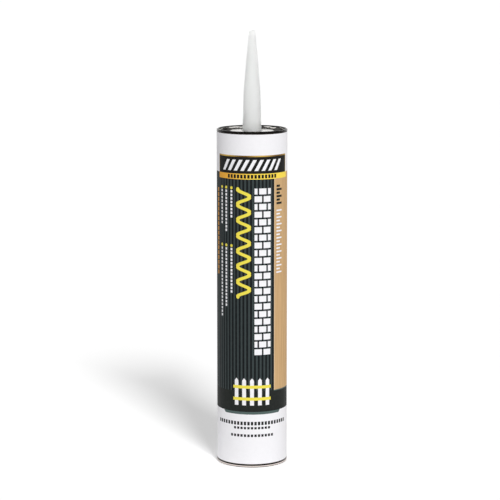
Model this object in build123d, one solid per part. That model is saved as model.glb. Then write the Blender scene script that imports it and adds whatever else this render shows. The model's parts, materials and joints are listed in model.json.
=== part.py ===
from build123d import *
import math
import os

# Construction adhesive cartridge of about 828 ml, standing on its base with the nozzle up.
# The origin is the centre of the base plane, +Z runs up the axis and the label's front faces -Y.
# All sizes are in millimetres. A section is drawn as (radius, height) and turned about Z.

# Body, the wound paperboard tube and the printed paper wrapped round it
body_length = 305.0  # base plane to the top of the rolled rim
body_diameter = 63.5  # over the label
board_thickness = 1.0
label_thickness = 0.1
glue_line = 0.08  # between the board and the label
lap_width = 9.0  # where the label's outer edge laps over its inner edge, at the back
label_gap = 0.1  # between the label's ends and the crimped skirts

# Tinplate end and base ring, both crimped over the edge of the tube
sheet_thickness = 0.18
flat_count = 3  # a bend is made of this many flats
skirt_fit = 0.1  # between a crimp's skirt and the board
wall_fit = 0.15  # between a crimp's inner wall and the bore
top_skirt_height = 2.5
rim_bend = 0.7  # bend radii are those of the sheet's outer face
base_skirt_height = 3.1
base_bend = 0.6
base_inner_height = 4.2  # inner wall of the base ring, which stops the plunger

# Stepped panel of the tinplate end, with depths below the top of the rim
sink_depth = 5.6
sink_lean = 0.7  # how far the sink's outer wall leans in as it goes down
sink_width = 1.7  # floor of the sink, between its two walls
sink_bend = 0.7
panel_edge_depth = 3.7
panel_edge_run = 0.8  # how far the sink's inner wall leans in as it rises
step_radius = 20.5
step_run = 1.2
step_rise = 0.9
hub_depth = 2.0  # the flat that the nozzle is seated in
panel_bend = 0.8

# Nozzle, moulded with its tip closed
nozzle_height = 87.5  # tip above the top of the rim
neck_radius = 8.4
flange_radius = 12.6
flange_thickness = 1.8
snap_bead_width = 0.55
snap_bead_height = 1.3
nozzle_fit = 0.05  # clearance of the nozzle in the end
shank_height = 33.4  # top of the lower taper, above the rim
shank_top_radius = 7.45
tip_radius = 2.75
tip_round = 1.9
nozzle_wall = 1.3
tip_wall = 1.5
tip_seal_length = 3.2  # solid plastic that is cut off before use

# Foil that is pierced through the nozzle before use
foil_thickness = 0.2
foil_margin = 1.4  # flange left bare outside the foil

# Plunger, a moulded cup with two wiping lips and ribs under its crown
plunger_height = 12.6
crown_thickness = 1.8
skirt_wall = 1.4
skirt_relief = 0.9  # gap between the plunger's skirt and the bore
lip_fit = 0.08  # clearance of the wiping lips in the bore
lip_height = 2.2
rib_count = 8
rib_thickness = 1.2
rib_recess = 2.6  # ribs stop this far above the foot of the plunger's skirt
rib_ring_radius = 10.0
plunger_rest_gap = 0.2  # between the plunger and the base ring

# Adhesive, a paste that fills the bore
fill_gap = 0.1

# Radii and heights worked out from the sizes above
body_radius = body_diameter / 2
board_radius = body_radius - label_thickness - glue_line
bore_radius = board_radius - board_thickness
skirt_radius = board_radius + skirt_fit + sheet_thickness
crimp_wall_radius = bore_radius - wall_fit - sheet_thickness
tube_top = body_length - rim_bend
tube_base = base_bend
top_skirt_edge = body_length - top_skirt_height
label_top = top_skirt_edge - label_gap
label_base = base_skirt_height + label_gap
sink_outer_radius = crimp_wall_radius - sink_lean
sink_inner_radius = sink_outer_radius - sink_width
sink_height = body_length - sink_depth
panel_edge_height = body_length - panel_edge_depth
hub_height = body_length - hub_depth
flange_top = hub_height - sheet_thickness - nozzle_fit
flange_base = flange_top - flange_thickness
foil_base = flange_base - foil_thickness
foil_radius = flange_radius - foil_margin
tip_height = body_length + nozzle_height
plunger_foot = base_inner_height + plunger_rest_gap
crown_height = plunger_foot + plunger_height
lip_radius = bore_radius - lip_fit
skirt_outer_radius = bore_radius - skirt_relief
skirt_inner_radius = skirt_outer_radius - skirt_wall


def turned(section):
    """Turns a flat (radius, height) section a full circle about Z."""
    return revolve(Plane.XZ * section, axis=Axis.Z)


def left_of(direction):
    """The direction turned a quarter turn to the left."""
    return Vector(-direction.Y, direction.X)


def sheet_section(points, bends):
    """Section of pressed tinplate: its outer face, with each bend as a few flats, and a parallel
    inner face one sheet to the left, whose corners lie on the mitres of the outer ones."""
    face_line = FilletPolyline(*points, radius=bends)
    outer = [face_line @ 0]
    for edge in face_line.order_edges():
        flats = flat_count if edge.geom_type == GeomType.CIRCLE else 1
        outer += [edge @ (flat / flats) for flat in range(1, flats + 1)]
    runs = [(end - start).normalized() for start, end in zip(outer, outer[1:])]
    inner = []
    for corner, before, after in zip(outer, runs[:1] + runs, runs + runs[-1:]):
        mitre = (left_of(before) + left_of(after)) / (1 + before.dot(after))
        inner.append(corner + mitre * sheet_thickness)
    return make_face(Polyline(*outer, *reversed(inner), close=True))


def wall_section(inner_radius, thickness, base, top):
    """Section of a straight round wall."""
    return Pos(inner_radius, base) * Rectangle(thickness, top - base, align=(Align.MIN, Align.MIN))


def make_tube_body():
    """Wound paperboard tube, with its ends inside the two crimps."""
    return turned(wall_section(bore_radius, board_thickness, tube_base, tube_top))


def make_label_wrap():
    """Printed paper round the tube from one crimp to the other, with a lap seam at the back."""
    wrap = turned(wall_section(body_radius - label_thickness, label_thickness, label_base, label_top))
    strip = wall_section(body_radius, label_thickness, label_base, label_top)
    lap_angle = math.degrees(lap_width / body_radius)
    lap = revolve(Plane.XZ * strip, axis=Axis.Z, revolution_arc=lap_angle)
    return wrap + Rot(0, 0, 90 - lap_angle / 2) * lap


def make_top_end():
    """Tinplate end: crimped skirt, rolled rim, sunk groove, and a stepped panel with the nozzle's hole."""
    points = [
        (skirt_radius, top_skirt_edge),
        (skirt_radius, body_length),
        (crimp_wall_radius, body_length),
        (sink_outer_radius, sink_height),
        (sink_inner_radius, sink_height),
        (sink_inner_radius - panel_edge_run, panel_edge_height),
        (step_radius, hub_height - step_rise),
        (step_radius - step_run, hub_height),
        (neck_radius + nozzle_fit, hub_height),
    ]
    bends = [rim_bend, rim_bend, sink_bend, sink_bend, panel_bend, panel_bend, panel_bend]
    return turned(sheet_section(points, bends))


def make_base_ring():
    """Tinplate ring crimped over the foot of the tube. Its flat base is what the cartridge stands on."""
    points = [
        (crimp_wall_radius, base_inner_height),
        (crimp_wall_radius, 0),
        (skirt_radius, 0),
        (skirt_radius, base_skirt_height),
    ]
    return turned(sheet_section(points, base_bend))


def make_nozzle():
    """Tapered plastic spout: a flange under the end, a neck and snap bead in its hole, and a closed tip."""
    bead_base = hub_height + nozzle_fit
    bead_top = bead_base + snap_bead_height
    shank_top = body_length + shank_height
    outside = [
        (flange_radius, flange_base),
        (flange_radius, flange_top),
        (neck_radius, flange_top),
        (neck_radius, bead_base),
        (neck_radius + snap_bead_width, bead_base),
        (neck_radius, bead_top),
        (shank_top_radius, shank_top),
        (tip_radius, tip_height),
        (0, tip_height),
    ]
    inside = [
        (0, tip_height - tip_seal_length),
        (tip_radius - tip_wall, tip_height - tip_seal_length),
        (shank_top_radius - nozzle_wall, shank_top),
        (neck_radius - nozzle_wall, flange_top),
        (neck_radius - nozzle_wall, flange_base),
    ]
    bends = [0, 0, 0, 0, 0, 0, 0, tip_round, 0, 0, 0, 0, 0, 0]
    outline = FilletPolyline(*outside, *inside, radius=bends, close=True)
    return turned(make_face(outline))


def make_puncture_seal():
    """Foil disc bonded under the nozzle's flange."""
    disc = Cylinder(foil_radius, foil_thickness, align=(Align.CENTER, Align.CENTER, Align.MIN))
    return Pos(0, 0, foil_base) * disc


def make_plunger():
    """Moulded cup: a flat crown, a skirt with two wiping lips, and ribs below the crown."""
    under_crown = crown_height - crown_thickness
    outline = [
        (0, crown_height),
        (lip_radius, crown_height),
        (lip_radius, crown_height - lip_height / 2),
        (skirt_outer_radius, crown_height - lip_height),
        (skirt_outer_radius, plunger_foot + lip_height),
        (lip_radius, plunger_foot + lip_height / 2),
        (lip_radius, plunger_foot),
        (skirt_inner_radius, plunger_foot),
        (skirt_inner_radius, under_crown),
        (0, under_crown),
    ]
    cup = turned(make_face(Polyline(*outline, close=True)))
    rib_foot = plunger_foot + rib_recess
    rib_height = under_crown + crown_thickness / 2 - rib_foot
    ring_section = Rectangle(rib_thickness, rib_height, align=(Align.CENTER, Align.MIN))
    rib_ring = turned(Pos(rib_ring_radius, rib_foot) * ring_section)
    rib_length = skirt_inner_radius + skirt_wall / 2 - rib_ring_radius
    rib = Box(rib_length, rib_thickness, rib_height, align=(Align.MIN, Align.CENTER, Align.MIN))
    ribs = PolarLocations(0, rib_count) * (Pos(rib_ring_radius, 0, rib_foot) * rib)
    return cup + rib_ring + ribs


def make_adhesive_fill():
    """Paste between the plunger's crown and the end, with the foil's level as its highest."""
    wall = bore_radius - fill_gap
    shoulder = sink_height - sheet_thickness - fill_gap
    land_radius = sink_inner_radius - panel_edge_run - sheet_thickness - fill_gap
    land = min(foil_base, panel_edge_height - sheet_thickness) - fill_gap
    outline = [
        (0, crown_height + fill_gap),
        (wall, crown_height + fill_gap),
        (wall, shoulder),
        (land_radius, shoulder),
        (land_radius, land),
        (0, land),
    ]
    return turned(make_face(Polyline(*outline, close=True)))


os.makedirs("parts", exist_ok=True)
pieces = {
    "tube_body": make_tube_body(),
    "label_wrap": make_label_wrap(),
    "top_end": make_top_end(),
    "base_ring": make_base_ring(),
    "nozzle": make_nozzle(),
    "puncture_seal": make_puncture_seal(),
    "plunger": make_plunger(),
    "adhesive_fill": make_adhesive_fill(),
}
for name, piece in pieces.items():
    export_step(piece, f"parts/{name}.step")
    print(name, "volume", round(piece.volume, 1), "mm3")
plunger_stroke = min(sink_height - sheet_thickness, foil_base) - crown_height - fill_gap
print("plunger stroke", round(plunger_stroke, 2), "mm, foot at", round(plunger_foot, 2), "mm")
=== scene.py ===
import json
import math

import bmesh
import bpy
import numpy as np
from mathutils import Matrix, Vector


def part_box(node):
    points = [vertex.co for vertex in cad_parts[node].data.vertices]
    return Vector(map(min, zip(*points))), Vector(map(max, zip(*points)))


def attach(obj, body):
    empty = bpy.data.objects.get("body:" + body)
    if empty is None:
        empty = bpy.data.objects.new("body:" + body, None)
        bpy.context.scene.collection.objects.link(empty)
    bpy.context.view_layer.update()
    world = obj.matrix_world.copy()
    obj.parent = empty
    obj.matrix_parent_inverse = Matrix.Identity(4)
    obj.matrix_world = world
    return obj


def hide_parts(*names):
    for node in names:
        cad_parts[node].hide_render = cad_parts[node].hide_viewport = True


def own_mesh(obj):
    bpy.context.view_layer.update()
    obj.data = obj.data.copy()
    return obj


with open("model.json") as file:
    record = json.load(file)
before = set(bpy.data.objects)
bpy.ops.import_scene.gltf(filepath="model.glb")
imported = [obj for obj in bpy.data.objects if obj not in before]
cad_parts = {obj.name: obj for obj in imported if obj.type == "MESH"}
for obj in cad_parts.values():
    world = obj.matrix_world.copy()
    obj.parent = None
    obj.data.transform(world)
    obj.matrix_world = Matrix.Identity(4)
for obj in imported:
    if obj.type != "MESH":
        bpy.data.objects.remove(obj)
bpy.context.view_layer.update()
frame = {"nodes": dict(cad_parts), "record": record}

MM = 0.001

# Paperboard tube
# The barrel is grey-brown board, wound as a spiral from a few glued plies and cut to length.
# Both of its ends are gripped by tinplate crimps, and its bore shows once the plunger has risen.


def wall_corners(inside, outside, foot, top):
    """The four corners of an upright wall's section, from its inner foot round to its inner top."""
    return [(inside, foot), (outside, foot), (outside, top), (inside, top)]


def rounded_line(corners, radii, closed=True, arc_points=8, run_points=10):
    """Points of a section with round corners, as (radius, height) rows. At each corner an arc leaves the
    incoming run one tangent length early, which is the corner's radius times the tangent of half its turn.
    Along a run the points crowd towards both ends, as the cosine does. One count serves all the runs, or
    each run has its own."""
    corners = np.asarray(corners, float)
    radii = np.asarray(radii, float)[:, None]
    incoming = corners - np.roll(corners, 1, axis=0)
    incoming /= np.linalg.norm(incoming, axis=1, keepdims=True)
    outgoing = np.roll(incoming, -1, axis=0)
    left = np.stack([-incoming[:, 1], incoming[:, 0]], axis=1)
    turn = np.arctan2((left * outgoing).sum(1), (incoming * outgoing).sum(1))[:, None]
    start = corners - incoming * radii * np.tan(np.abs(turn) / 2)
    spoke = -left * radii * np.sign(turn)
    across = np.stack([-spoke[:, 1], spoke[:, 0]], axis=1)
    swing = (turn * np.linspace(0, 1, arc_points))[:, :, None]
    arcs = (start - spoke)[:, None] + spoke[:, None] * np.cos(swing) + across[:, None] * np.sin(swing)
    next_arcs = np.roll(arcs, -1, axis=0)
    pieces = []
    for arc, next_arc, count in zip(arcs, next_arcs, np.broadcast_to(run_points, len(arcs))):
        crowd = (1 - np.cos(np.linspace(0, np.pi, count + 2)[1:-1, None])) / 2
        pieces += [arc, arc[-1] + (next_arc[0] - arc[-1]) * crowd]
    return np.concatenate(pieces if closed else pieces[:-1])


def whole_turn(steps):
    """Angles of this many even steps round the axis."""
    return np.linspace(0, 2 * np.pi, steps, endpoint=False)


def turned_grid(section, angle, swell=0.0):
    """Section turned about Z: (r sin a, -r cos a, z), where r is the section's radius plus the swell."""
    radius = section[:, :1] + swell + 0 * angle
    height = section[:, 1:] + 0 * angle
    return np.stack([radius * np.sin(angle), -radius * np.cos(angle), height], axis=-1)


def laid_mesh(name, grid, loop=True, touching=1e-7):
    """Piece with a quad between each point of a grid and its neighbours. The grid's second direction closes
    on itself, and the first one too where loop is set. Points nearer to each other than touching, in
    metres, merge, as they do on the axis."""
    index = np.arange(grid.shape[0] * grid.shape[1]).reshape(grid.shape[:2])
    beside = np.roll(index, -1, axis=1)
    quads = np.stack([index, beside, np.roll(beside, -1, axis=0), np.roll(index, -1, axis=0)], axis=-1)
    quads = quads if loop else quads[:-1]
    mesh = bpy.data.meshes.new(name)
    mesh.from_pydata(grid.reshape(-1, 3).tolist(), [], quads.reshape(-1, 4).tolist())
    work = bmesh.new()
    work.from_mesh(mesh)
    bmesh.ops.remove_doubles(work, verts=work.verts, dist=touching)
    work.to_mesh(mesh)
    work.free()
    mesh.polygons.foreach_set("use_smooth", np.ones(len(mesh.polygons), bool))
    piece = bpy.data.objects.new(name, mesh)
    bpy.context.collection.objects.link(piece)
    return piece


class Field:
    """A number that varies over a surface, kept as a node's socket. Sums, differences, products and
    quotients add Math nodes, and a comparison gives 1 where it holds and 0 elsewhere."""

    def __init__(self, tree, socket):
        self.tree = tree
        self.socket = socket

    def worked(self, operation, *others):
        """The result of one Math node on this number and the others."""
        node = self.tree.nodes.new("ShaderNodeMath")
        node.operation = operation
        for place, value in zip(node.inputs, (self, *others)):
            if isinstance(value, Field):
                self.tree.links.new(value.socket, place)
            else:
                place.default_value = value
        return Field(self.tree, node.outputs[0])

    def __add__(self, other):
        return self.worked("ADD", other)

    def __sub__(self, other):
        return self.worked("SUBTRACT", other)

    def __mul__(self, other):
        return self.worked("MULTIPLY", other)

    def __truediv__(self, other):
        return self.worked("DIVIDE", other)

    def __lt__(self, other):
        return self.worked("LESS_THAN", other)

    def __gt__(self, other):
        return self.worked("GREATER_THAN", other)

    def size(self):
        """How far the number is from 0."""
        return self.worked("ABSOLUTE")

    def within(self, low, high):
        """1 between low and high."""
        return (self > low) * (self < high)

    def share(self, pitch):
        """How far along its repeat of this pitch the number is, from 0 to 1."""
        return (self / pitch).worked("FRACT")

    def count(self, pitch):
        """Which repeat of this pitch the number is in."""
        return (self / pitch).worked("FLOOR")

    def marked(self, pitch, share):
        """1 over the middle share of each repeat of this pitch, with one repeat centred on 0."""
        return ((self + pitch / 2).share(pitch) - 0.5).size() < share / 2

    def eased(self, low, high):
        """0 below low, 1 above high and smooth between."""
        node = self.tree.nodes.new("ShaderNodeMapRange")
        node.interpolation_type = "SMOOTHSTEP"
        self.tree.links.new(self.socket, node.inputs["Value"])
        node.inputs["From Min"].default_value = low
        node.inputs["From Max"].default_value = high
        return Field(self.tree, node.outputs["Result"])


def tint(red, green, blue):
    """Linear colour of a screen colour given from 0 to 255, by the sRGB curve: a straight line for the
    darkest tones and a power of 2.4 above them."""
    screen = np.array([red, green, blue]) / 255
    linear = np.where(screen <= 0.04045, screen / 12.92, ((screen + 0.055) / 1.055) ** 2.4)
    return (*linear.tolist(), 1.0)


def finish(name, **settings):
    """Material with a Principled shader. A setting's underscores stand for the spaces of its socket's
    name."""
    material = bpy.data.materials.new(name)
    material.use_nodes = True
    shader = material.node_tree.nodes["Principled BSDF"]
    for socket, value in settings.items():
        shader.inputs[socket.replace("_", " ")].default_value = value
    return material, material.node_tree, shader


def place_on(tree):
    """The surface's own x, y and z in millimetres, as fields."""
    place = tree.nodes.new("ShaderNodeTexCoord")
    parts = tree.nodes.new("ShaderNodeSeparateXYZ")
    tree.links.new(place.outputs["Object"], parts.inputs[0])
    return [Field(tree, socket) / MM for socket in parts.outputs]


def grain(tree, size, stretch=(1, 1, 1), detail=3.0):
    """Noise from 0 to 1 with grains of this size in metres, drawn out along an axis by its stretch."""
    place = tree.nodes.new("ShaderNodeTexCoord")
    drawn = tree.nodes.new("ShaderNodeMapping")
    drawn.inputs["Scale"].default_value = [1 / (size * factor) for factor in stretch]
    noise = tree.nodes.new("ShaderNodeTexNoise")
    noise.inputs["Scale"].default_value = 1.0
    noise.inputs["Detail"].default_value = detail
    tree.links.new(place.outputs["Object"], drawn.inputs["Vector"])
    tree.links.new(drawn.outputs["Vector"], noise.inputs["Vector"])
    return Field(tree, noise.outputs["Fac"])


def paint(tree, below, colour, mask):
    """One colour laid over another where the mask is 1. Each colour is a tint or a socket. A Mix node has
    sockets for each type of data, and those for colours are inputs 6 and 7 and output 2."""
    node = tree.nodes.new("ShaderNodeMix")
    node.data_type = "RGBA"
    tree.links.new(mask.socket, node.inputs[0])
    for place, value in zip(node.inputs[6:8], (below, colour)):
        if isinstance(value, tuple):
            place.default_value = value
        else:
            tree.links.new(value, place)
    return node.outputs[2]


def relief(tree, shader, height, depth):
    """Bump of this depth in metres from a height field of 0 to 1."""
    node = tree.nodes.new("ShaderNodeBump")
    node.inputs["Strength"].default_value = 1.0
    node.inputs["Distance"].default_value = depth
    tree.links.new(height.socket, node.inputs["Height"])
    tree.links.new(node.outputs["Normal"], shader.inputs["Normal"])


def clothe(piece, body, material):
    """Gives a piece its finish, and the body and the material slot that it belongs to."""
    piece.data.materials.append(material)
    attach(piece, body)


tube_low, tube_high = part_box("tube_body")
board_radius = tube_high.x
board_thickness = 1.0 * MM
board_edge = 0.12 * MM
ply_lead = 118 * MM
ply_gap_width = 0.35 * MM
ply_gap_slope = 4 * ply_gap_width
ply_gap_depth = 0.10 * MM


def from_ply_line(section, angle):
    """Height of each point over the nearest turn of the joint between the plies. The joint climbs one lead
    in each turn."""
    turns = section[:, 1:] / ply_lead - angle / (2 * np.pi)
    return (turns - np.round(turns)) * ply_lead


board_section = rounded_line(
    wall_corners(board_radius - board_thickness, board_radius, tube_low.z, tube_high.z),
    [board_edge] * 4,
    arc_points=4,
    run_points=(2, 60, 2, 160),
)
board_angle = whole_turn(240)
inside_wall = board_section[:, :1] < board_radius - board_thickness / 2
from_ply_gap = from_ply_line(board_section, board_angle)
ply_gap = ply_gap_depth * np.exp(-((from_ply_gap / ply_gap_slope) ** 2)) * inside_wall
board_tube = laid_mesh("board_tube", turned_grid(board_section, board_angle, ply_gap))

board_brown = tint(150, 124, 96)
board_pale = tint(186, 160, 128)
fleck_brown = tint(112, 90, 68)
gap_brown = tint(92, 74, 56)
fibre_size = 0.5 * MM
fibre_depth = 0.05 * MM
fleck_size = 1.6 * MM
fleck_strength = 0.5
board_finish, tree, shader = finish("wound_board", Roughness=0.9, Specular_IOR_Level=0.2)
board_x, board_y, board_z = place_on(tree)
board_turns = board_x.worked("ARCTAN2", board_y * -1) / (2 * math.pi)
ply_line = (board_z / (ply_lead / MM) - board_turns).share(1)
at_ply_gap = (ply_line - 0.5).size() > 0.5 - ply_gap_width / ply_lead
fibre = grain(tree, fibre_size, (1, 1, 5))
fleck = grain(tree, fleck_size, (1, 1, 2), detail=1.0).eased(0.66, 0.72)
board_colour = paint(tree, board_brown, board_pale, fibre)
board_colour = paint(tree, board_colour, fleck_brown, fleck * fleck_strength)
board_colour = paint(tree, board_colour, gap_brown, at_ply_gap)
tree.links.new(board_colour, shader.inputs["Base Color"])
relief(tree, shader, fibre, fibre_depth)
clothe(board_tube, "cartridge", board_finish)
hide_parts("tube_body")

# Adhesive
# The tube is filled with a tan, stiff paste, which lies against the bore and the tinplate end.
# It is one soft mass that the plunger squeezes up towards the nozzle.

paste_low, paste_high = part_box("adhesive_fill")
paste_radius = paste_high.x
paste_land_radius = 26.76 * MM
paste_shoulder = 1.55 * MM
paste_corner_radii = np.array([0, 0.5, 0.4, 0.2, 0.3, 0]) * MM
paste_section = rounded_line(
    [
        (0, paste_low.z),
        (paste_radius, paste_low.z),
        (paste_radius, paste_high.z - paste_shoulder),
        (paste_land_radius, paste_high.z - paste_shoulder),
        (paste_land_radius, paste_high.z),
        (0, paste_high.z),
    ],
    paste_corner_radii,
    closed=False,
)
paste = laid_mesh("paste", turned_grid(paste_section, whole_turn(120)), loop=False)

paste_tan = tint(186, 154, 110)
paste_pale = tint(206, 178, 136)
lump_size = 3 * MM
lump_depth = 0.2 * MM
paste_finish, tree, shader = finish("tan_paste", Roughness=0.45, Specular_IOR_Level=0.4)
paste_lump = grain(tree, lump_size)
tree.links.new(paint(tree, paste_tan, paste_pale, paste_lump), shader.inputs["Base Color"])
relief(tree, shader, paste_lump, lump_depth)
clothe(paste, "cartridge", paste_finish)
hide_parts("adhesive_fill")
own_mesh(paste)

# Plunger
# A moulded cup of natural polyethylene closes the rear of the paste. Two lips wipe the bore, and a ring
# and eight ribs stiffen the crown, where the ram plate of a gun pushes.

plunger_low, plunger_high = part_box("plunger")
lip_radius = plunger_high.x
lip_height = 2.2 * MM
lip_reach = 0.82 * MM
cup_wall = 1.4 * MM
crown_thickness = 1.8 * MM
cup_corner_radii = np.array([0, 1.0, 0.35, 0.3, 0.3, 0.6, 0.6, 0.3, 0.3, 0]) * MM
cup_outside = lip_radius - lip_reach
cup_inside = cup_outside - cup_wall
under_crown = plunger_high.z - crown_thickness
cup_section = rounded_line(
    [
        (0, under_crown),
        (cup_inside, under_crown),
        (cup_inside, plunger_low.z),
        (lip_radius, plunger_low.z),
        (lip_radius, plunger_low.z + lip_height / 2),
        (cup_outside, plunger_low.z + lip_height),
        (cup_outside, plunger_high.z - lip_height),
        (lip_radius, plunger_high.z - lip_height / 2),
        (lip_radius, plunger_high.z),
        (0, plunger_high.z),
    ],
    cup_corner_radii,
    closed=False,
)
cup_angle = whole_turn(192)
plunger_cup = laid_mesh("plunger_cup", turned_grid(cup_section, cup_angle), loop=False)

rib_count = 8
rib_thickness = 1.2 * MM
rib_edge = 0.3 * MM
rib_recess = 2.6 * MM
rib_root = 0.7 * MM
rib_ring_radius = 10 * MM
rib_foot = plunger_low.z + rib_recess
rib_top = under_crown + crown_thickness / 2
rib_outline = rounded_line(
    wall_corners(-rib_thickness / 2, rib_thickness / 2, rib_foot, rib_top),
    [rib_edge] * 4,
    arc_points=6,
    run_points=4,
)
rib_ring_section = rib_outline + np.array([rib_ring_radius, 0])
rib_ring = laid_mesh("plunger_rib_ring", turned_grid(rib_ring_section, cup_angle))


def rib_grid(turn):
    """The rib's upright outline carried straight out from the ring into the cup's wall, in the direction
    that this turn gives. At both ends the outline shrinks to its middle, which closes the rib."""
    middle = rib_outline.mean(0)
    reach = np.repeat([rib_ring_radius, cup_inside + rib_root], 2)
    spread = np.array([0, 1, 1, 0])[:, None, None]
    outline = middle + (rib_outline - middle) * spread
    along = reach[:, None] + 0 * outline[:, :, 0]
    return np.stack(
        [
            along * math.cos(turn) - outline[:, :, 0] * math.sin(turn),
            along * math.sin(turn) + outline[:, :, 0] * math.cos(turn),
            outline[:, :, 1],
        ],
        axis=-1,
    )


ribs = [
    laid_mesh(f"plunger_rib_{number}", rib_grid(2 * math.pi * number / rib_count), loop=False)
    for number in range(rib_count)
]

plunger_dull = tint(218, 217, 208)
plunger_pale = tint(232, 231, 224)
plunger_cloud_size = 7 * MM
plunger_grain_size = 0.3 * MM
plunger_grain_depth = 0.012 * MM
plunger_finish, tree, shader = finish(
    "natural_polyethylene",
    Roughness=0.42,
    Specular_IOR_Level=0.4,
    Subsurface_Weight=0.25,
    Subsurface_Radius=(1.0, 0.95, 0.85),
    Subsurface_Scale=1.5 * MM,
)
plunger_colour = paint(tree, plunger_dull, plunger_pale, grain(tree, plunger_cloud_size))
tree.links.new(plunger_colour, shader.inputs["Base Color"])
relief(tree, shader, grain(tree, plunger_grain_size), plunger_grain_depth)
for plunger_piece in (plunger_cup, rib_ring, *ribs):
    clothe(plunger_piece, "plunger", plunger_finish)
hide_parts("plunger")

# Printed label
# One sheet of coated paper is printed, wrapped round the board, glued and lapped at the back.
# It covers the tube from one crimp to the other, so that the crimps lie flush with the print.


def either(*masks):
    """1 where any of the masks is."""
    top = masks[0]
    for mask in masks[1:]:
        top = top.worked("MAXIMUM", mask)
    return top


def vary_roughness(tree, shader, field, low, high):
    """Roughness that goes from low to high as the field goes from 0 to 1."""
    tree.links.new((field * (high - low) + low).socket, shader.inputs["Roughness"])


label_low, label_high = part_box("label_wrap")
label_radius = label_high.x
label_thickness = 0.1 * MM
label_edge = 0.04 * MM
lap_width = 9 * MM
lap_ramp = 2.2 * MM
cut_width = 0.02 * MM
beside_cut = np.array([-0.03, -0.01, 0.01, 0.03]) * MM
ply_mark_depth = 0.025 * MM
ply_mark_width = 2.5 * MM
label_section = rounded_line(
    wall_corners(label_radius - label_thickness, label_radius, label_low.z, label_high.z),
    [label_edge] * 4,
    arc_points=3,
    run_points=(1, 160, 1, 40),
)
lap_angle = lap_width / label_radius
lap_cut = np.pi - lap_angle / 2
ramp_angle = np.linspace(0, 1, 8) * lap_ramp / label_radius
lap_angles = [lap_cut + beside_cut / label_radius, lap_cut + lap_angle + ramp_angle]
label_angle = np.sort(np.concatenate([whole_turn(300), *lap_angles]))

# From the cut on, the lap stands one sheet up, and past the hidden end it eases down over the ramp
from_cut = (label_angle - lap_cut) * label_radius
lap_rise = np.clip(from_cut / cut_width, 0, 1)
lap_slope = np.clip((from_cut - lap_width) / lap_ramp, 0, 1)
lap = label_thickness * lap_rise * (1 - lap_slope**2 * (3 - 2 * lap_slope))
from_ply_mark = from_ply_line(label_section, label_angle)
ply_mark = -ply_mark_depth * np.exp(-((from_ply_mark / ply_mark_width) ** 2))
outer_face = label_section[:, :1] > label_radius - label_thickness / 2
label_swell = (lap + ply_mark) * outer_face
printed_label = laid_mesh("printed_label", turned_grid(label_section, label_angle, label_swell))

# The print is laid out in millimetres, up from the tube's lower edge and across round it from its front
label_finish, tree, shader = finish("printed_paper", Specular_IOR_Level=0.06)
label_x, label_y, label_z = place_on(tree)
label_turn = label_x.worked("ARCTAN2", label_y * -1)
past_cut = label_turn > lap_cut
up = label_z - tube_low.z / MM
across = (label_turn - past_cut * (2 * math.pi)) * (label_radius / MM)

# A dark field with upright stripes, a plain band along its foot and a border under it
paper_white = tint(243, 242, 245)
ink_black = tint(17, 21, 23)
stripe_grey = tint(56, 65, 66)
band_black = tint(34, 37, 35)
edge_teal = tint(84, 101, 98)
field_foot = 51
field_top = 267
foot_band_top = 70
stripe_pitch = 3.48
stripe_share = 0.5
border_foot = 48.6
border_reach = 29
border_slope = 0.8
in_field = up.within(field_foot, field_top)
stripes = (across.share(stripe_pitch) < stripe_share) * (up > foot_band_top)
print_colour = paint(tree, paper_white, ink_black, in_field)
print_colour = paint(tree, print_colour, stripe_grey, in_field * stripes)
print_colour = paint(tree, print_colour, band_black, up.within(field_foot, foot_band_top))
from_border_end = across.size() + (up - field_foot).size() * border_slope
border = up.within(border_foot, field_foot) * (from_border_end < border_reach)
print_colour = paint(tree, print_colour, edge_teal, border)

# A tan panel with the grain of wood, a pale left edge and a rule along its foot
wood_tan = tint(211, 175, 128)
wood_dark = tint(188, 149, 102)
wood_light = tint(226, 194, 152)
wood_grain_size = 1.1 * MM
wood_contrast = 0.6
tan_left = 21.4
tan_right = 66
tan_line = 0.9
wood_grain = grain(tree, wood_grain_size, (1, 1, 40), detail=4.0).eased(0.35, 0.65)
wood = paint(tree, wood_tan, wood_dark, wood_grain * wood_contrast)
tan_width = across.within(tan_left, tan_right)
tan_height = up.within(foot_band_top, field_top)
print_colour = paint(tree, print_colour, wood, tan_width * tan_height)
tan_edge = across.within(tan_left, tan_left + tan_line) * tan_height
print_colour = paint(tree, print_colour, wood_light, tan_edge)
tan_rule = tan_width * up.within(foot_band_top - tan_line, foot_band_top)
print_colour = paint(tree, print_colour, edge_teal, tan_rule)

# A yellow band along the field's top, and over it a black box framed in gold
box_black = tint(24, 24, 23)
band_orange = tint(238, 172, 62)
band_yellow = tint(252, 222, 84)
gold_bright = tint(208, 172, 84)
gold_dark = tint(112, 82, 34)
band_foot = 262
band_overhang = 2
band_orange_end = -30
band_yellow_start = 10
box_left = -36.5
box_right = 38.1
box_top = 282
gold_side = 0.6
gold_head = 1.2
gold_wave = 5.5
band_colour = paint(tree, band_orange, band_yellow, across.eased(band_orange_end, band_yellow_start))
in_band = across.within(box_left, box_right + band_overhang) * up.within(band_foot, field_top)
print_colour = paint(tree, print_colour, band_colour, in_band)
gold_sheen = (across / gold_wave).worked("SINE") * 0.5 + 0.5
gold = paint(tree, gold_dark, gold_bright, gold_sheen)
in_gold = across.within(box_left, box_right) * up.within(field_top, box_top + gold_head)
print_colour = paint(tree, print_colour, gold, in_gold)
in_box = across.within(box_left + gold_side, box_right - gold_side) * up.within(field_top, box_top)
print_colour = paint(tree, print_colour, box_black, in_box)

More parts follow.
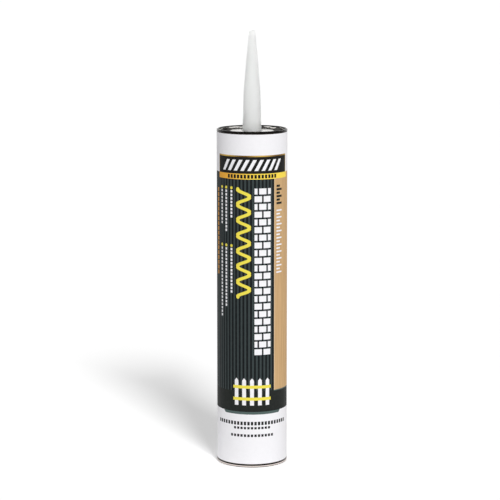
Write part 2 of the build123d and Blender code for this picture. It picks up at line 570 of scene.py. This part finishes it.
# A row of slanted bars in the box, and a row of dashes on the band below it
bar_count = 9
bar_pitch = 6.4
bar_share = 0.52
bar_slant = 0.55
bar_foot = 269.6
bar_top = 279.4
slanted = across - (up - (bar_foot + bar_top) / 2) * bar_slant
in_bar_row = (slanted.size() < bar_count / 2 * bar_pitch) * up.within(bar_foot, bar_top)
print_colour = paint(tree, print_colour, paper_white, slanted.marked(bar_pitch, bar_share) * in_bar_row)
dash_pitch = 3.2
dash_share = 0.68
band_dash_count = 15
band_dash_foot = 262.8
band_dash_top = 266.2
dashes = across.marked(dash_pitch, dash_share)
in_dash_row = (across.size() < band_dash_count / 2 * dash_pitch) * up.within(band_dash_foot, band_dash_top)
print_colour = paint(tree, print_colour, ink_black, dashes * in_dash_row)

# A wall of white bricks in running bond
course = 6.92
course_count = 22
brick_length = 8.3
brick_share = 0.82
course_share = 0.77
wall_left = 2.2
wall_foot = 103.3
wall_inset = 1.2
wall_up = up - wall_foot
wall_across = across - wall_left
bond_shift = wall_up.count(course).worked("MODULO", 2.0) * (brick_length / 2)
brick_face = (wall_across + bond_shift).share(brick_length) < brick_share
course_face = wall_up.share(course) < course_share
in_wall = wall_up.within(0, course * course_count) * wall_across.within(0, 2 * brick_length - wall_inset)
print_colour = paint(tree, print_colour, paper_white, in_wall * brick_face * course_face)

# Beside the wall, a bead of adhesive laid in waves, with round ends. Across the label a leaning stretch is
# wider than the bead itself, and the bends are cut off a little outside the bead's own radius
bead_yellow = tint(240, 224, 84)
bead_foot = 155.9
bead_head = 253.4
bead_middle = -7.8
bead_radius = 1.55
bend_limit = 1.25
wave_reach = 5.2
wave_count = 7
wave_rate = 2 * math.pi * wave_count / (bead_head - bead_foot)
wave_turn = (up - bead_foot) * wave_rate
wave_lean = wave_turn.worked("SINE") * (wave_reach * wave_rate)
bead_half_width = (wave_lean * wave_lean + 1).worked("SQRT") * bead_radius
from_middle = across - bead_middle
from_bead = (from_middle + wave_turn.worked("COSINE") * wave_reach).size()
within_bends = from_middle.size() < wave_reach + bend_limit * bead_radius
bead = (from_bead < bead_half_width) * within_bends * up.within(bead_foot, bead_head)
print_colour = paint(tree, print_colour, bead_yellow, bead)
from_end = from_middle + wave_reach
for end in (bead_foot, bead_head):
    round_end = (from_end * from_end + (up - end) * (up - end)).worked("SQRT") < bead_radius
    print_colour = paint(tree, print_colour, bead_yellow, round_end)

# Three columns of dashed rules, each with a round mark at its head, and an orange rule beside them
rule_orange = tint(226, 158, 62)
upper_head = 254
lower_head = 202
column_half_width = 1.0
mark_radius = 1.3
for column, upper_dashes, lower_dashes in ((-19.6, 8, 13), (-25.7, 12, 17), (-31.7, 10, 20)):
    aside = (across - column).size()
    for head, dash_count in ((upper_head, upper_dashes), (lower_head, lower_dashes)):
        down = up * -1 + head
        below_head = down.within(dash_pitch / 2, (dash_count + 0.5) * dash_pitch)
        rule = below_head * down.marked(dash_pitch, dash_share) * (aside < column_half_width)
        print_colour = paint(tree, print_colour, paper_white, rule)
        from_head = (aside * aside + down * down).worked("SQRT")
        print_colour = paint(tree, print_colour, bead_yellow, from_head < mark_radius)
side_left = -40.2
side_right = -37.8
side_foot = 173.8
side_top = 253
side_pitch = 4.4
side_share = 0.8
in_side_rule = across.within(side_left, side_right) * up.within(side_foot, side_top)
print_colour = paint(tree, print_colour, rule_orange, in_side_rule * up.marked(side_pitch, side_share))

# On the tan panel, a scale of long and short ticks, dark in its upper part and white below
tick_pitch = 3.1
tick_left = 24.0
short_tick = 4.6
long_tick = 7.2
tick_number = up.count(tick_pitch)
tick_length = tick_number.worked("MODULO", 2.0) * (long_tick - short_tick) + short_tick
on_scale = (across > tick_left) * ((across - tick_length) < tick_left)
for ink, first, last, tick_share in ((band_black, 77, 82, 0.64), (paper_white, 57, 75, 0.44)):
    ticks = (up.share(tick_pitch) < tick_share) * tick_number.within(first - 0.5, last + 0.5)
    print_colour = paint(tree, print_colour, ink, on_scale * ticks)

# A picket fence with two yellow rails
picket_count = 5
picket_pitch = 7.2
picket_half_width = 1.8
picket_foot = 57
picket_tip = 82
tip_slope = 1.2
rail_feet = (61.5, 72.5)
rail_thickness = 2.8
rail_inset = 0.3
fence_reach = picket_count / 2 * picket_pitch
picket_aside = ((across + picket_pitch / 2).share(picket_pitch) - 0.5).size() * picket_pitch
picket_top = picket_aside * -tip_slope + picket_tip
pickets = (picket_aside < picket_half_width) * (up > picket_foot) * ((up - picket_top) < 0)
print_colour = paint(tree, print_colour, paper_white, pickets * (across.size() < fence_reach))
rails = either(*(up.within(rail_foot, rail_foot + rail_thickness) for rail_foot in rail_feet))
print_colour = paint(tree, print_colour, bead_yellow, rails * (across.size() < fence_reach - rail_inset))

# Three dashed rules on the lower white band
rule_grey = tint(46, 46, 48)
for height, thickness, dash_count in ((38.6, 3.3, 23), (34.9, 2.2, 11), (27.8, 2.4, 13)):
    rule = up.within(height, height + thickness) * (across.size() < dash_count / 2 * dash_pitch)
    print_colour = paint(tree, print_colour, rule_grey, rule * dashes)

# At the back, the bare cut edge of the lap
cut_paper = tint(226, 224, 220)
cut_shown = 0.3 * MM
cut_edge = past_cut * (label_turn < lap_cut + cut_shown / label_radius)
print_colour = paint(tree, print_colour, cut_paper, cut_edge)

# A slight mottle in the ink, and the fibres of the paper under it
mottle_grey = tint(128, 128, 128)
mottle_size = 2.4 * MM
mottle_strength = 0.03
paper_fibre_size = 0.35 * MM
paper_fibre_depth = 0.006 * MM
ink_mottle = grain(tree, mottle_size).eased(0.2, 0.8)
print_colour = paint(tree, print_colour, mottle_grey, ink_mottle * mottle_strength)
tree.links.new(print_colour, shader.inputs["Base Color"])
paper_fibre = grain(tree, paper_fibre_size, (1, 1, 1.6))
vary_roughness(tree, shader, paper_fibre, 0.44, 0.60)
relief(tree, shader, paper_fibre, paper_fibre_depth)
clothe(printed_label, "cartridge", label_finish)
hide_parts("label_wrap")

# Base ring
# A hoop of tinplate is folded round the foot of the tube and crimped from inside and outside.
# The cartridge stands on its flat, and it keeps the plunger from falling out.

sheet = 0.18 * MM
_, ring_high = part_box("base_ring")
skirt_radius = ring_high.x
crimp_inside = frame["record"]["mounts"][1]["dims"]["r_mm"] * MM
base_bend = 0.6 * MM
base_skirt = 3.1 * MM


def pressed_sheet(corners, bends, run_points=6):
    """Closed section of a bent sheet. The inner face lies one sheet to the left of the outer one, with its
    corners on the mitres. An inside bend is a sheet tighter and an outside bend a sheet wider. The sheet's
    two cut edges are rounded by nearly half its thickness."""
    corners = np.asarray(corners, float)
    run = np.diff(corners, axis=0)
    run /= np.linalg.norm(run, axis=1, keepdims=True)
    before = np.vstack([run[:1], run])
    after = np.vstack([run, run[-1:]])
    left_before = np.stack([-before[:, 1], before[:, 0]], axis=1)
    left_after = np.stack([-after[:, 1], after[:, 0]], axis=1)
    mitre = (left_before + left_after) / (1 + (before * after).sum(1, keepdims=True))
    inner = corners + mitre * sheet
    turn = np.sign((left_before * after).sum(1))[1:-1]
    edge = [sheet * 0.45]
    outer_bends = np.concatenate([edge, bends, edge])
    inner_bends = np.concatenate([edge, bends - turn * sheet, edge])
    loop = np.concatenate([corners, inner[::-1]])
    return rounded_line(loop, np.concatenate([outer_bends, inner_bends[::-1]]), run_points=run_points)


ring_section = pressed_sheet(
    [(crimp_inside, ring_high.z), (crimp_inside, 0), (skirt_radius, 0), (skirt_radius, base_skirt)],
    np.full(2, base_bend),
)
base_hoop = laid_mesh("base_hoop", turned_grid(ring_section, whole_turn(256)))

hoop_dull = tint(206, 194, 188)
hoop_bright = tint(232, 222, 216)
# Painted shade colours: near-black for the top of the skirt and its inner wall, dark brown for the foot
crimp_shade_black = tint(30, 27, 25)
foot_shade_brown = tint(66, 56, 50)
crimp_shade_fade = 1.7
crimp_shade_line = 1.2
foot_shade_height = 0.7
roll_size = 0.16 * MM
roll_stretch = (60, 1, 1)
roll_depth = 0.004 * MM
hoop_finish, tree, shader = finish("base_tinplate", Metallic=1.0)
hoop_up = place_on(tree)[2]
hoop_top = base_skirt / MM
rolled = grain(tree, roll_size, roll_stretch)
hoop_colour = paint(tree, hoop_dull, hoop_bright, rolled)
# Painted shade: the ring's top goes near-black where it meets the label, and its foot goes dark brown where
# it stands on the floor
crimp_painted_shade = hoop_up.eased(hoop_top - crimp_shade_fade, hoop_top - crimp_shade_line)
hoop_colour = paint(tree, hoop_colour, crimp_shade_black, crimp_painted_shade)
hoop_colour = paint(tree, hoop_colour, foot_shade_brown, hoop_up < foot_shade_height)
tree.links.new(hoop_colour, shader.inputs["Base Color"])
vary_roughness(tree, shader, rolled, 0.24, 0.40)
relief(tree, shader, rolled, roll_depth)
clothe(base_hoop, "cartridge", hoop_finish)
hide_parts("base_ring")

# Nozzle
# A spout of cloudy polyethylene is moulded in one piece with its tip closed. A flange under the tinplate
# end and a snap bead above it lock it in the hole, and the tip is cut off before use.

spout_low, spout_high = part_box("nozzle")
_, end_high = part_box("top_end")
rim_height = end_high.z
flange_radius = spout_high.x
hub_sink = 2.0 * MM
seat_gap = 0.05 * MM
neck_radius = 8.4 * MM
snap_width = 0.55 * MM
snap_height = 1.3 * MM
shank_length = 33.4 * MM
shank_top_radius = 7.45 * MM
tip_radius = 2.75 * MM
tip_seal = 3.2 * MM
spout_wall = 1.3 * MM
tip_wall = 1.5 * MM
spout_corner_radii = np.array([0, 0.6, 60, 2, 0.3, 0.3, 0.3, 0.1, 0.1, 0.12, 0.5, 90, 1.9, 0]) * MM
hub_height = rim_height - hub_sink
flange_top = hub_height - sheet - seat_gap
snap_foot = hub_height + seat_gap
shank_top = rim_height + shank_length
spout_section = rounded_line(
    [
        (0, spout_high.z - tip_seal),
        (tip_radius - tip_wall, spout_high.z - tip_seal),
        (shank_top_radius - spout_wall, shank_top),
        (neck_radius - spout_wall, flange_top),
        (neck_radius - spout_wall, spout_low.z),
        (flange_radius, spout_low.z),
        (flange_radius, flange_top),
        (neck_radius, flange_top),
        (neck_radius, snap_foot),
        (neck_radius + snap_width, snap_foot),
        (neck_radius, snap_foot + snap_height),
        (shank_top_radius, shank_top),
        (tip_radius, spout_high.z),
        (0, spout_high.z),
    ],
    spout_corner_radii,
    closed=False,
    arc_points=10,
    run_points=14,
)

# The mould's parting line runs up both sides of the outside, which is the last part of the section
outside_start = 0.62
parting_height = 0.05 * MM
parting_width = 0.03
parting_end_radius = 2 * MM
spout_angle = whole_turn(144)
parting = parting_height * np.exp(-((np.cos(spout_angle) / parting_width) ** 2))
spout_outside = (np.arange(len(spout_section)) > len(spout_section) * outside_start)[:, None]
above_rim = spout_section[:, 1:] > rim_height
beside_tip = spout_section[:, :1] > parting_end_radius
spout_swell = parting * (spout_outside * above_rim * beside_tip)
spout = laid_mesh("spout", turned_grid(spout_section, spout_angle, spout_swell), loop=False)

spout_dull = tint(252, 253, 252)
spout_clear = tint(255, 255, 255)
spout_cloud_size = 9 * MM
spout_grain_size = 0.4 * MM
spout_grain_depth = 0.008 * MM
spout_finish, tree, shader = finish("cloudy_polyethylene", Roughness=0.5, Transmission_Weight=0.8)
spout_colour = paint(tree, spout_dull, spout_clear, grain(tree, spout_cloud_size, (1, 1, 3)))
tree.links.new(spout_colour, shader.inputs["Base Color"])
relief(tree, shader, grain(tree, spout_grain_size), spout_grain_depth)
clothe(spout, "cartridge", spout_finish)
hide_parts("nozzle")

# Foil seal
# A disc of aluminium foil is bonded under the nozzle's flange, and keeps the paste from drying.
# It is pierced through the cut tip before use. The disc is the frame's own, with a creased finish.

foil_dull = tint(198, 200, 202)
foil_bright = tint(224, 225, 226)
crease_size = 2.5 * MM
crease_depth = 0.08 * MM
foil_finish, tree, shader = finish("seal_foil", Metallic=1.0, Roughness=0.28)
crease = grain(tree, crease_size)
tree.links.new(paint(tree, foil_dull, foil_bright, crease), shader.inputs["Base Color"])
relief(tree, shader, crease, crease_depth)
foil = frame["nodes"]["puncture_seal"]
foil.data.materials.clear()
foil.data.materials.append(foil_finish)

# Tinplate end
# A blank of tinplate is pressed into a stepped panel with a sunk groove, then rolled over the tube's top
# edge and crimped, so that its skirt grips the board and its inner wall lines the bore.

end_skirt = 2.5 * MM
wall_lean = 0.7 * MM
groove_depth = 5.6 * MM
groove_width = 1.7 * MM
panel_lean = 0.8 * MM
panel_sink = 3.7 * MM
step_radius = 20.5 * MM
step_height = 0.9 * MM
step_width = 1.2 * MM
end_bends = np.array([0.7, 0.7, 0.7, 0.7, 0.8, 0.8, 0.8]) * MM
groove_floor = rim_height - groove_depth
groove_outside = crimp_inside - wall_lean
groove_inside = groove_outside - groove_width
end_section = pressed_sheet(
    [
        (skirt_radius, rim_height - end_skirt),
        (skirt_radius, rim_height),
        (crimp_inside, rim_height),
        (groove_outside, groove_floor),
        (groove_inside, groove_floor),
        (groove_inside - panel_lean, rim_height - panel_sink),
        (step_radius, hub_height - step_height),
        (step_radius - step_width, hub_height),
        (neck_radius + seat_gap, hub_height),
    ],
    end_bends,
)

# The press puckers the sink wall: slow and quick waves round it, which grow from the rim to the groove
pucker_start = 0.8 * MM
pucker_growth = 2 * MM
pucker_width = 1.2 * MM
pucker_sink = 0.08 * MM
slow_height = 0.07 * MM
quick_height = 0.025 * MM
end_angle = whole_turn(384)
down_wall = np.clip((rim_height - pucker_start - end_section[:, 1:]) / pucker_growth, 0, 1)
near_wall = end_section[:, :1] > groove_inside - pucker_width
within_crimp = end_section[:, :1] < crimp_inside + 1.5 * sheet
slow_waves = np.sin(5 * end_angle + 0.6) + np.sin(9 * end_angle + 2.1) + np.sin(16 * end_angle)
quick_waves = np.sin(33 * end_angle + 1.3) + np.sin(47 * end_angle)
pucker_height = slow_height * slow_waves + quick_height * quick_waves - pucker_sink
pucker = pucker_height * down_wall * near_wall * within_crimp
end_panel = laid_mesh("end_panel", turned_grid(end_section, end_angle, pucker))

# Bright tin, with painted shade dark in the groove and at the folds, and painted dark reflection along the
# rim in an uneven line and on the skirt
tin_dull = tint(206, 203, 198)
tin_bright = tint(236, 234, 230)
tin_painted_dark = tint(26, 24, 22)
rim_line = 0.5
rim_shade_wander_size = 8 * MM
rim_shade_wander_height = 1.8
skirt_start = 0.4
groove_shade_wander_size = 6 * MM
groove_shade_wander_height = 5
groove_shade_width = 1.4
groove_shade_sink = 4.2
step_shade_inside = 1.6
step_shade_outside = 0.3
snap_shade_width = 1.4
end_finish, tree, shader = finish("end_tinplate", Metallic=1.0)
end_x, end_y, end_up = place_on(tree)
from_axis = (end_x * end_x + end_y * end_y).worked("SQRT")
from_crimp = from_axis - crimp_inside / MM
from_step = from_axis - step_radius / MM
over_rim = end_up - rim_height / MM
# Painted dark reflection along the rim, with a wandering edge, and over the skirt
rim_shade_wander = grain(tree, rim_shade_wander_size, detail=1.0) * rim_shade_wander_height
rim_painted_dark = (from_crimp > -rim_line) * (over_rim + rim_shade_wander).eased(-rim_line, 0)
skirt_painted_dark = from_crimp > skirt_start
# Painted shade in the groove, whose edge wanders up and down the sink wall
groove_shade_wander = grain(tree, groove_shade_wander_size, detail=2.0) * groove_shade_wander_height
near_groove = from_axis > groove_inside / MM - groove_shade_width
groove_painted_shade = near_groove * ((over_rim - groove_shade_wander) < -groove_shade_sink)
step_painted_shade = from_step.within(-step_shade_inside, step_shade_outside)
snap_painted_shade = from_axis < neck_radius / MM + snap_shade_width
rolled = grain(tree, roll_size, roll_stretch)
end_colour = paint(tree, tin_dull, tin_bright, rolled)
# Painted shade in the groove, at the panel's step and round the nozzle's neck
for shade, strength in ((groove_painted_shade, 0.9), (step_painted_shade, 0.8), (snap_painted_shade, 0.7)):
    end_colour = paint(tree, end_colour, tin_painted_dark, shade * strength)
# Painted dark reflection along the rim and over the skirt
end_colour = paint(tree, end_colour, tin_painted_dark, either(rim_painted_dark, skirt_painted_dark))
tree.links.new(end_colour, shader.inputs["Base Color"])
vary_roughness(tree, shader, rolled, 0.1, 0.2)
relief(tree, shader, rolled, roll_depth)
clothe(end_panel, "cartridge", end_finish)
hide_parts("top_end")

# Floor, light and camera
# A white sheet under a pale sky, one broad lamp ahead and to the right, and the photograph's viewpoint.
# Left of the object the sheet bounces more light on to the foot of the label.

floor_mesh = bpy.data.meshes.new("floor")
floor_reach = 12.0
floor_corners = [(-1, -1, 0), (1, -1, 0), (1, 1, 0), (-1, 1, 0)]
floor_mesh.from_pydata((np.array(floor_corners) * floor_reach).tolist(), [], [(0, 1, 2, 3)])
floor = bpy.data.objects.new("floor", floor_mesh)
bpy.context.collection.objects.link(floor)


def rays(tree, *kinds):
    """1 for rays of these kinds and 0 for the others."""
    path = tree.nodes.new("ShaderNodeLightPath")
    return either(*(Field(tree, path.outputs[f"Is {kind} Ray"]) for kind in kinds))


floor_white = 0.88
floor_seen = 1.2
floor_lift = 0.2
bounce_x = -80
bounce_y = 15
bounce_radius = 110
bounce_extra = 1.2
floor_finish = bpy.data.materials.new("white_sheet")
floor_finish.use_nodes = True
tree = floor_finish.node_tree
tree.nodes.remove(tree.nodes["Principled BSDF"])
floor_x, floor_y, _ = place_on(tree)
bounce_aside = floor_x - bounce_x
bounce_behind = floor_y - bounce_y
from_bounce = (bounce_aside * bounce_aside + bounce_behind * bounce_behind).worked("SQRT")
floor_bounce = from_bounce.eased(0, bounce_radius) * -bounce_extra + (floor_white + bounce_extra)
floor_shown = rays(tree, "Camera", "Glossy", "Transmission")
floor_colour = floor_bounce + floor_shown * (floor_bounce * -1 + floor_seen)
matt = tree.nodes.new("ShaderNodeBsdfDiffuse")
tree.links.new(floor_colour.socket, matt.inputs["Color"])
lift = tree.nodes.new("ShaderNodeEmission")
tree.links.new((floor_shown * floor_lift).socket, lift.inputs["Strength"])
both = tree.nodes.new("ShaderNodeAddShader")
tree.links.new(matt.outputs[0], both.inputs[0])
tree.links.new(lift.outputs[0], both.inputs[1])
tree.links.new(both.outputs[0], tree.nodes["Material Output"].inputs["Surface"])
floor_mesh.materials.append(floor_finish)

# The sky glows low down, more at the right. It looks white, with a darker ceiling for the tin to reflect
sky_base = 0.25
glow_strength = 0.9
glow_power = 3.0
glow_right = 0.3
ceiling_start = 0.35
ceiling_full = 0.75
ceiling_shade = 0.7
sky = bpy.data.worlds.new("pale_sky")
bpy.context.scene.world = sky
sky.use_nodes = True
tree = sky.node_tree
direction = tree.nodes.new("ShaderNodeTexCoord")
towards = tree.nodes.new("ShaderNodeSeparateXYZ")
tree.links.new(direction.outputs["Generated"], towards.inputs[0])
rightwards, _, upwards = [Field(tree, socket) for socket in towards.outputs]
low_glow = (upwards.size() * -1 + 1).worked("POWER", glow_power) * (rightwards * glow_right + 1)
sky_light = low_glow * glow_strength + sky_base
not_transmitted = rays(tree, "Transmission") * -1 + 1
ceiling_dark = upwards.eased(ceiling_start, ceiling_full) * not_transmitted * ceiling_shade
sky_shown = rays(tree, "Camera", "Glossy", "Transmission")
sky_strength = sky_light + sky_shown * (ceiling_dark * -1 - sky_light + 1)
tree.links.new(sky_strength.socket, tree.nodes["Background"].inputs["Strength"])
tree.nodes["Background"].inputs["Color"].default_value = (1, 1, 1, 1)

lamp_rise = math.radians(37)
lamp_aside = math.radians(17)
lamp = bpy.data.lights.new("broad_lamp", "SUN")
lamp.energy = 1.85
lamp.angle = math.radians(14)
lamp_holder = bpy.data.objects.new("broad_lamp", lamp)
lamp_holder.rotation_euler = (math.pi / 2 - lamp_rise, 0, lamp_aside)
bpy.context.collection.objects.link(lamp_holder)

aim = np.array([-0.00182, 0.0, 0.1944])
camera_distance = 1.885
camera_rise = math.radians(9.15)
camera = bpy.data.cameras.new("camera")
camera.sensor_width = 36.0
camera.lens = 149.95
camera_holder = bpy.data.objects.new("camera", camera)
away = np.array([0.0, -math.cos(camera_rise), math.sin(camera_rise)])
camera_holder.location = (aim + camera_distance * away).tolist()
camera_holder.rotation_euler = (math.pi / 2 - camera_rise, 0, 0)
bpy.context.collection.objects.link(camera_holder)
bpy.context.scene.camera = camera_holder
bpy.context.scene.view_settings.view_transform = "Standard"
